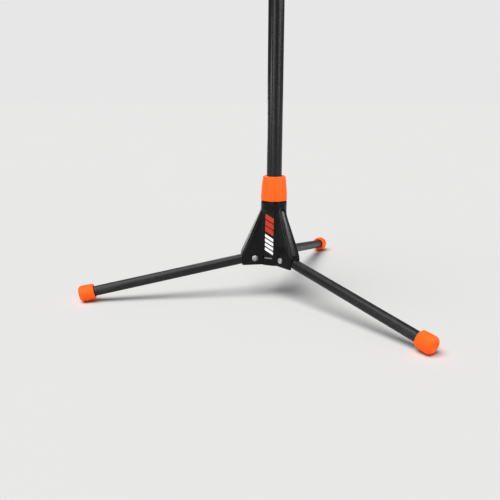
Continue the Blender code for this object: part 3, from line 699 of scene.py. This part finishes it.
def bands(polygon, angle, pitch, share, offset=0.0):
    """Slanted bars across a polygon."""
    normal = Vector((math.cos(angle), math.sin(angle)))
    reach = [point.dot(normal) for point in polygon]
    first = math.floor(min(reach) / pitch) - 1
    last = math.ceil(max(reach) / pitch) + 1
    for step in range(first, last):
        start = (step + offset) * pitch
        piece = clipped(polygon, -normal, -start)
        piece = clipped(piece, normal, start + pitch * share) if len(piece) > 2 else []
        if len(piece) > 2:
            yield piece


def make_label(materials):
    """A thin film on the front pad: plain slanted bars, red over white, over a thin grey line."""
    half = 8.9 * MM
    pad_low = HUB_COLUMN_RADIUS - HUB_PAD_CUT
    lean = math.atan2(HUB_COLUMN_RADIUS - HUB_NECK_RADIUS, HUB_RIDGE_TOP - HUB_BOTTOM)
    place = (Matrix.Translation(POLE + Vector((0, -pad_low, HUB_BOTTOM)))
             @ Matrix.Rotation(-lean, 4, "X") @ Matrix.Rotation(math.pi / 2, 4, "X"))
    mesh = bpy.data.meshes.new("hub_label")
    shape = bmesh.new()

    def layer(polygon, low, high, slot):
        bottom = [shape.verts.new((p.x, p.y, low)) for p in polygon]
        top = [shape.verts.new((p.x, p.y, high)) for p in polygon]
        faces = [shape.faces.new(top), shape.faces.new(list(reversed(bottom)))]
        for i in range(len(polygon)):
            j = (i + 1) % len(polygon)
            faces.append(shape.faces.new((bottom[i], bottom[j], top[j], top[i])))
        for face in faces:
            face.material_index = slot

    base = 0.06 * MM
    film = 0.16 * MM
    ink = 0.19 * MM
    bottom = PIVOT_HEIGHT - HUB_BOTTOM - 2 * MM
    red_low = bottom + 50.0 * MM
    red_high = bottom + 85.0 * MM
    inner = half - 0.6 * MM
    tilt = math.radians(62)
    slant = inner / math.tan(tilt)

    def leaning_block(low, high, radius):
        points = [Vector((-inner, low + slant)), Vector((inner, low - slant)),
                  Vector((inner, high - slant)), Vector((-inner, high + slant))]
        return [Vector(p) for p in round_corners(points, [radius] * 4, 4)]

    layer(rounded_rectangle((-half, bottom), (half, red_high + slant + MM), 2.0 * MM), base, film,
          0)
    for bar in bands(leaning_block(red_low, red_high, 1.6 * MM), tilt, 10.5 * MM, 0.82, 0.3):
        layer(bar, film - 0.01 * MM, ink, 1)
    white = leaning_block(bottom + 11.8 * MM, red_low - 2.2 * MM, 0.8 * MM)
    for bar in bands(white, tilt, 7.6 * MM, 0.68):
        layer(bar, film - 0.01 * MM, ink, 2)
    line = rounded_rectangle((-inner, bottom + 1.6 * MM), (inner - 2 * MM, bottom + 3.4 * MM),
                             0.5 * MM)
    layer(line, film - 0.01 * MM, ink, 3)
    bmesh.ops.recalc_face_normals(shape, faces=shape.faces)
    shape.to_mesh(mesh)
    shape.free()
    label = new_piece("hub_label", mesh, None, place)
    for name in ("film", "red", "white", "grey"):
        mesh.materials.append(materials[name])
    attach(label, "base")


# --- collars, foot caps, fasteners and ball cup ---------------------------------------------------

def barrel_side(bottom, top, bottom_radius, top_radius):
    """Outer side of a collar from its top edge down: rounded edges and a bowed taper."""
    top_round = 1.8 * MM
    bottom_round = 0.9 * MM
    bow = 1.9
    points = []
    for step in range(9):
        turn = math.radians(90 * step / 8)
        points.append((top_radius - top_round * (1 - math.sin(turn)),
                       top - top_round * (1 - math.cos(turn))))
    side_steps = 20
    for step in range(1, side_steps + 1):
        share = step / side_steps
        points.append((top_radius + (bottom_radius - top_radius) * (1 - (1 - share) ** bow),
                       top - top_round - share * (top - bottom - top_round - bottom_round)))
    for step in range(1, 6):
        turn = math.radians(90 * step / 5)
        points.append((bottom_radius - bottom_round * (1 - math.cos(turn)),
                       bottom + bottom_round * (1 - math.sin(turn))))
    return points


def make_collar(node, body, material, radii, bores, lip):
    """A twist collar with a fine bead line a little above its bottom edge."""
    low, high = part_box(node)
    bead_edge = low.z + 3.0 * MM
    bead_depth = 0.25 * MM
    bead_range = 2.4 * MM
    bead_made = False
    profile = []
    for radius, height in barrel_side(low.z, high.z, *radii):
        profile.append((radius, height))
        if not bead_made and 0 < height - bead_edge < bead_range:
            profile += [(radius, bead_edge + 0.5 * MM), (radius - bead_depth, bead_edge + 0.3 * MM),
                        (radius - bead_depth, bead_edge + 0.1 * MM),
                        (radius + 0.02 * MM, bead_edge - 0.1 * MM)]
            bead_made = True
    low_bore, top_bore = bores
    soft = 0.5 * MM
    profile += [
        (low_bore + soft, low.z), (low_bore, low.z + soft), (low_bore, high.z - lip),
        (top_bore, high.z - lip), (top_bore, high.z - soft), (top_bore + soft, high.z)]
    collar = lathe(node + "_shape", profile, material, pole_frame(), 128)
    stand_in(collar, node, body)


def make_foot_cap(number, material):
    """Foot cap: soft barrel with rounded ends, a funnel round the tube and a dished end."""
    inset = 0.12 * MM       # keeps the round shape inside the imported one's flat sides
    length = 29.0 * MM - 2 * inset
    radius = 15.7 * MM - inset
    mouth_radius = 15.0 * MM - inset
    mouth_round = 3.2 * MM - inset
    shoulder = 7.0 * MM - inset
    lead_in = 1.3 * MM
    end_wall = 8.0 * MM - inset
    half = length / 2
    foot_reach = 358.7 * MM
    middle = (foot_reach - PIVOT_REACH) / math.cos(LEG_SLOPE)
    bore = LEG_RADIUS + GAP
    disc = radius - shoulder - 1.2 * MM
    dish = 0.5 * MM
    profile = [(0.0, half - dish), (disc - 1.6 * dish, half - dish),
               (disc - 0.8 * dish, half - 0.75 * dish), (disc - 0.3 * dish, half - 0.25 * dish),
               (disc + 0.2 * dish, half)]
    arc_steps = 12
    for step in range(arc_steps + 1):
        turn = math.radians(90 * (1 - step / arc_steps))
        profile.append((radius - shoulder + shoulder * math.cos(turn),
                        half - shoulder + shoulder * math.sin(turn)))
    side_top = half - shoulder
    side_low = -half + mouth_round
    for step in range(1, 9):
        share = step / 9
        profile.append((radius - (radius - mouth_radius) * share ** 2.2,
                        side_top + (side_low - side_top) * share))
    for step in range(arc_steps + 1):
        turn = math.radians(90 * step / arc_steps)
        profile.append((mouth_radius - mouth_round * (1 - math.cos(turn)),
                        -half + mouth_round * (1 - math.sin(turn))))
    profile += [(bore + lead_in + 0.3 * MM, -half), (bore + lead_in - 0.2 * MM, -half + 0.3 * MM),
                (bore + 0.2 * MM, -half + lead_in - 0.2 * MM), (bore, -half + lead_in + 0.3 * MM),
                (bore, half - end_wall), (0.0, half - end_wall)]
    place = (leg_frame(number) @ Matrix.Translation((middle, 0, 0))
             @ Matrix.Rotation(math.pi / 2, 4, "Y"))
    cap = lathe(f"foot_cap_{number}_shape", profile, material, None, 96, closed=False)
    cap.data.transform(place)
    stand_in(cap, f"foot_cap_{number}", f"leg_{number}")


def hex_solid(name, corner_radius, low, high, chamfer, material, place):
    """A hexagon prism whose corners are turned down to a cone at the top, as on real hardware."""
    mesh = bpy.data.meshes.new(name)
    shape = bmesh.new()
    bmesh.ops.create_cone(shape, cap_ends=True, segments=6, radius1=corner_radius,
                          radius2=corner_radius, depth=high - low)
    bmesh.ops.translate(shape, verts=shape.verts, vec=(0, 0, (high + low) / 2))
    shape.to_mesh(mesh)
    shape.free()
    piece = new_piece(name, mesh, material, place)
    reach = corner_radius + MM
    start = corner_radius * math.cos(math.pi / 6) - 0.15 * MM
    drop = (reach - start) * math.tan(math.radians(28))
    profile = [(0.0, high), (start, high), (reach, high - drop), (reach, low - MM),
               (0.0, low - MM)]
    blank = lathe("blank", profile, None, place, 64, closed=False)
    combine(piece, blank, "INTERSECT")
    if chamfer:
        bevel(piece, chamfer, 20.0)
    return piece


def thread_end(radius, low, high):
    """Profile of a threaded bolt end, as rings: crests, roots and a chamfered tip."""
    pitch = 1.0 * MM
    depth = 0.38 * MM
    points = [(0.0, high), (radius - 1.1 * MM, high), (radius - depth, high - 0.7 * MM)]
    height = high - 0.9 * MM
    while height - pitch > low:
        points += [(radius, height), (radius - depth, height - pitch / 2)]
        height -= pitch
    return points


def make_fasteners(number, materials):
    """Hexagon bolt with its head on the -Y side and a lock nut with a nylon ring on the +Y side."""
    seat = HUB_BOSS_FACE + GAP
    corners = 5.8 * MM
    head_height = 3.7 * MM
    nut_height = 6.0 * MM
    nut_hex = 4.2 * MM
    outwards = arm_frame(number) @ Matrix.Rotation(-math.pi / 2, 4, "X")
    backwards = arm_frame(number) @ Matrix.Rotation(math.pi / 2, 4, "X")
    bolt = hex_solid(f"pivot_bolt_{number}_shape", corners, seat, seat + head_height, 0.15 * MM,
                     materials["zinc"], backwards)
    face = seat + head_height
    dish_radius = 3.6 * MM
    dish = [(0.0, face + MM), (dish_radius, face + MM), (dish_radius, face - 0.35 * MM),
            (0.0, face - 0.5 * MM)]
    combine(bolt, lathe("dish", dish, None, backwards, 48, False))
    tip = seat + nut_height - 0.5 * MM
    thread_start = seat - 2 * MM
    root = -seat - 1.2 * MM
    profile = thread_end(BOLT_RADIUS, thread_start, tip)
    profile += [(BOLT_RADIUS, thread_start), (BOLT_RADIUS, root), (0.0, root)]
    shank = lathe("shank", profile, None, outwards, 48, False)
    combine(bolt, shank, "UNION")
    soften(bolt, 25.0)
    stand_in(bolt, f"pivot_bolt_{number}", "base")

    nut = hex_solid(f"lock_nut_{number}_shape", corners, seat, seat + nut_hex, 0.0,
                    materials["zinc"], outwards)
    top = seat + nut_height
    ring_radius = 4.7 * MM
    ring_bore = ring_radius - 1.0 * MM
    ring_floor = top - 2.1 * MM
    ring_root = seat + 1.2 * MM
    ring = [(ring_bore, top), (ring_radius - 0.45 * MM, top - 0.15 * MM),
            (ring_radius, top - 0.7 * MM), (ring_radius, ring_root), (0.0, ring_root), (0.0, top)]
    combine(nut, lathe("ring", ring, None, outwards, 64, False), "UNION")
    bore = [(0.0, top + MM), (ring_bore, top + MM), (ring_bore, ring_floor),
            (BOLT_RADIUS + GAP, ring_floor), (BOLT_RADIUS + GAP, seat - MM), (0.0, seat - MM)]
    combine(nut, lathe("bore", bore, None, outwards, 64, False))
    bevel(nut, 0.12 * MM, 30.0)
    soften(nut, 25.0)
    stand_in(nut, f"lock_nut_{number}", "base")
    outer = ring_bore - 0.02 * MM
    inner = BOLT_RADIUS + 0.12 * MM
    insert = lathe(f"lock_nut_{number}_insert",
                   round_corners([(outer, top - 0.25 * MM), (outer, top - 2.0 * MM),
                                  (inner, top - 2.0 * MM), (inner, top - 0.25 * MM)],
                                 [0.15 * MM] * 4, 3),
                   materials["nylon"], outwards, 64)
    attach(insert, "base")


def make_ball_cup(material):
    """Rubber cup: ribbed sleeve, rippled flare and a rounded rim for the ball."""
    low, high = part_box("ball_cup")
    rim = high.z
    bottom = low.z
    sleeve = 15.6 * MM
    rim_radius = 27.0 * MM
    rim_width = 3.2 * MM
    upper_radius = 12.7 * MM
    bore = upper_radius + GAP
    web_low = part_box("upper_pole")[1].z + GAP
    web_high = web_low + 4.7 * MM
    waist = sleeve + 1.0 * MM
    bead_radius = rim_radius + 0.9 * MM
    flare_radius = rim_radius - 0.6 * MM
    flare_top = rim - 6.0 * MM
    flare_height = 26 * MM
    flare_steps = 24
    ripples = 8
    ripple_depth = 0.35 * MM
    outer = round_corners([
        (rim_radius, rim), (bead_radius, rim - 1.2 * MM), (bead_radius, rim - 4.5 * MM),
        (flare_radius, flare_top)], [0.8 * MM, 1.0 * MM, 1.0 * MM, 0.0], 4, closed=False)
    for step in range(1, flare_steps + 1):
        share = step / flare_steps
        radius = waist + (flare_radius - waist) * (1 - share) ** 1.4
        ripple = ripple_depth * math.sin(share * math.pi * ripples) * math.sin(share * math.pi)
        outer.append((radius - abs(ripple), flare_top - share * flare_height))
    start = rim - 35 * MM
    outer.append((sleeve, start))
    grooves = 5
    groove_radius = sleeve - 0.45 * MM
    pitch = (start - bottom - 6 * MM) / grooves
    for groove in range(grooves):
        top = start - 3 * MM - groove * pitch
        outer += [(sleeve, top), (groove_radius, top - 0.4 * MM), (groove_radius, top - 1.2 * MM),
                  (sleeve, top - 1.6 * MM)]
    outer += [(sleeve, bottom + 1.0 * MM), (sleeve - 0.3 * MM, bottom + 0.3 * MM),
              (sleeve - 1.0 * MM, bottom)]
    vent = 5.0 * MM
    inside = [(bore, bottom), (bore, web_low), (vent, web_low), (vent, web_high)]
    bowl = [(9.0 * MM, web_high), (rim_radius - rim_width - 3.0 * MM, rim - 9.0 * MM),
            (rim_radius - rim_width, rim)]
    inside += round_corners([inside[-1]] + bowl, [0.0, 3.0 * MM, 4.0 * MM, 0.0], 6,
                            closed=False)[1:]
    cup = lathe("ball_cup_shape", outer + inside, material, pole_frame(), 128)
    stand_in(cup, "ball_cup", "upper")


# --- put together ---------------------------------------------------------------------------------

def dress(node, material):
    """Give a CAD node a material of the scene's own."""
    slots = NODES[node].material_slots
    if not slots:
        NODES[node].data.materials.append(material)
    for slot in slots:
        slot.link = "OBJECT"
        slot.material = material


def make_object():
    plastic = dark_plastic()
    orange = orange_plastic()
    caps = orange_rubber()
    metal = zinc()
    upright = painted_tube("paint_pole", (0.0, 0.0, 0.0), 0.22, False)
    for node in ("lower_pole", "upper_pole"):
        dress(node, upright)
    for number in LEG_NUMBERS:
        along = (0.0, -math.pi / 2 - LEG_SLOPE, -AZIMUTHS[number])
        dress(f"leg_tube_{number}", painted_tube(f"paint_leg_{number}", along, 0.32, True))
        dress(f"leg_pivot_plug_{number}", plastic)
        dress(f"pivot_sleeve_{number}", metal)
        make_foot_cap(number, caps)
        make_fasteners(number, {"zinc": metal, "nylon": plastic})
    for node in ("pole_end_plug", "pole_collet", "height_collet", "height_ferrule", "guide_bush",
                 "cup_plug"):
        dress(node, plastic)
    make_hub(hub_plastic())
    make_label({
        "film": print_ink("label_film", (0.0030, 0.0034, 0.0032), 0.22),
        "red": print_ink("label_red", (0.47, 0.032, 0.010)),
        "white": print_ink("label_white", (0.80, 0.81, 0.82)),
        "grey": print_ink("label_grey", (0.22, 0.23, 0.24)),
    })
    collar_bores = (SPIGOT_RADIUS + GAP, SOCKET_RADIUS)
    make_collar("pole_lock_collar", "pole_lock_collar", orange, (24.75 * MM, 21.4 * MM),
                collar_bores, 4.0 * MM)
    height_bores = (16.8 * MM, 13.0 * MM)
    make_collar("height_lock_collar", "height_lock_collar", orange, (21.6 * MM, 20.0 * MM),
                height_bores, 4.0 * MM)
    make_ball_cup(black_rubber())


# --- floor, light and camera ----------------------------------------------------------------------

def make_stage():
    """A pale round floor that reaches far enough for a soft horizon."""
    mesh = bpy.data.meshes.new("studio_floor")
    shape = bmesh.new()
    bmesh.ops.create_circle(shape, cap_ends=True, segments=96, radius=60.0)
    shape.to_mesh(mesh)
    shape.free()
    floor = new_piece("studio_floor", mesh, floor_paper(), Matrix.Translation((0, 0, -0.0002)))
    return floor


def area_light(name, place, target, width, height, power):
    data = bpy.data.lights.new(name, "AREA")
    data.shape = "RECTANGLE"
    data.size = width
    data.size_y = height
    data.energy = power
    light = bpy.data.objects.new(name, data)
    bpy.context.scene.collection.objects.link(light)
    aim = Vector(target) - Vector(place)
    light.rotation_euler = aim.to_track_quat("-Z", "Y").to_euler()
    light.location = place
    light.visible_camera = False
    return light


def spare_floor(lights, floor):
    """Let the softboxes shine on the object alone, so that the floor keeps one even tone."""
    spared = bpy.data.collections.new("not_lit_by_softboxes")
    spared.objects.link(floor)
    for light in lights:
        light.light_linking.receiver_collection = spared
    spared.collection_objects[0].light_linking.link_state = "EXCLUDE"


def make_light(floor):
    """Even pale world, a broad soft sun for the floor's shadow, and softboxes on the object."""
    world = bpy.data.worlds.new("studio")
    bpy.context.scene.world = world
    world.use_nodes = True
    tree = world.node_tree
    seen = tree.nodes["Background"]
    seen.inputs["Color"].default_value = (1.0, 1.0, 1.0, 1.0)
    seen.inputs["Strength"].default_value = 0.80
    fill = tree.nodes.new("ShaderNodeBackground")
    fill.inputs["Color"].default_value = (1.0, 1.0, 1.0, 1.0)
    fill.inputs["Strength"].default_value = 0.18
    path = tree.nodes.new("ShaderNodeLightPath")
    mix = tree.nodes.new("ShaderNodeMixShader")
    tree.links.new(path.outputs["Is Camera Ray"], mix.inputs[0])
    tree.links.new(fill.outputs[0], mix.inputs[1])
    tree.links.new(seen.outputs[0], mix.inputs[2])
    tree.links.new(mix.outputs[0], tree.nodes["World Output"].inputs["Surface"])
    centre = POLE + Vector((0, 0, 0.15))
    sky = bpy.data.lights.new("sky_panel", "SUN")
    sky.energy = 2.85
    sky.angle = math.radians(50)
    panel = bpy.data.objects.new("sky_panel", sky)
    bpy.context.scene.collection.objects.link(panel)
    panel.rotation_euler = Vector((0.25, 0.35, -1.0)).to_track_quat("-Z", "Y").to_euler()
    spare_floor([
        area_light("softbox_front", (-0.15, -2.5, 1.0), centre, 0.26, 1.9, 27),
        area_light("softbox_left", (-1.6, -1.8, 0.48), centre, 0.5, 0.28, 7),
        area_light("softbox_low_left", (-1.9, 1.6, 0.22), centre, 1.2, 0.3, 4),
        area_light("softbox_side", (2.1, -0.76, 0.95), centre, 0.36, 1.6, 20),
        area_light("softbox_right_back", (1.75, 0.4, 1.2), centre, 0.5, 0.5, 22),
        area_light("softbox_back", (-1.2, 2.0, 1.9), centre, 1.2, 1.0, 22),
    ], floor)


def make_camera():
    """Standing view from the front right: 41 mm lens, looking down by 15 degrees."""
    scene = bpy.context.scene
    data = bpy.data.cameras.new("camera")
    data.sensor_width = 36.0
    data.lens = 41.31
    data.clip_start = 0.02
    data.clip_end = 50.0
    camera = bpy.data.objects.new("camera", data)
    scene.collection.objects.link(camera)
    right = Vector((0.930113, 0.367268, 0.002186))
    up = Vector((-0.095611, 0.236383, 0.966944))
    back = right.cross(up)
    turn = Matrix((right, up, back)).transposed().to_4x4()
    stand = POLE + Vector((0.3559, -1.0272, 0.3738))
    camera.matrix_world = Matrix.Translation(stand) @ turn
    scene.camera = camera
    scene.view_settings.view_transform = "Standard"
    scene.view_settings.look = "None"


make_object()
make_light(make_stage())
make_camera()
bpy.context.view_layer.update()
